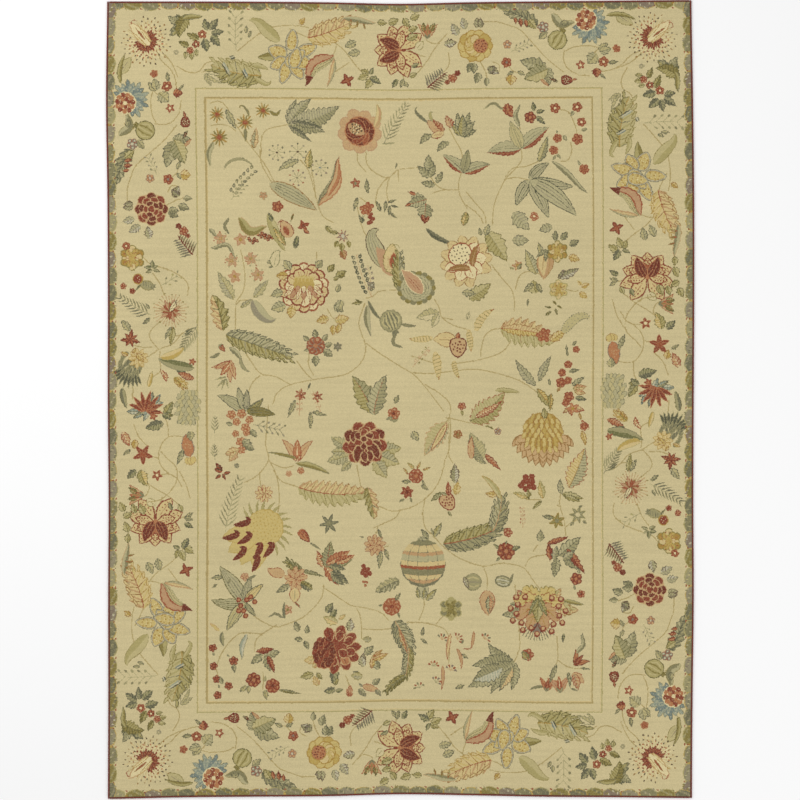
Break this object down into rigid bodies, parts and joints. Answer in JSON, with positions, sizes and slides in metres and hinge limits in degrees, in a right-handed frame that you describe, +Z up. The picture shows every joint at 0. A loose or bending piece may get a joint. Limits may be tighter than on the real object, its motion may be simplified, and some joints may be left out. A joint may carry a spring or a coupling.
{
  "type": "hand-knotted floral rug",
  "caption": "Large flat hand-knotted wool rug, cream ground with scrolling flowers, a flowered border, scalloped guard and dark red edges.",
  "frame": {"origin": "centre of the underside, where the rug rests on the floor", "axes": "+Z up out of the pile, +Y along the rug towards the end at the top of the picture"},
  "size_m": [2.7056, 3.6741, 0.0109],
  "materials": {
    "pile": "soft matte wool pile",
    "edge": "matte overcast wool"
  },
  "bodies": {
    "root": {"knotted_cloth": "pile", "side_cord_left": "edge", "side_cord_right": "edge", "end_binding_foot": "edge", "end_binding_head": "edge"}
  },
  "joints": []
}
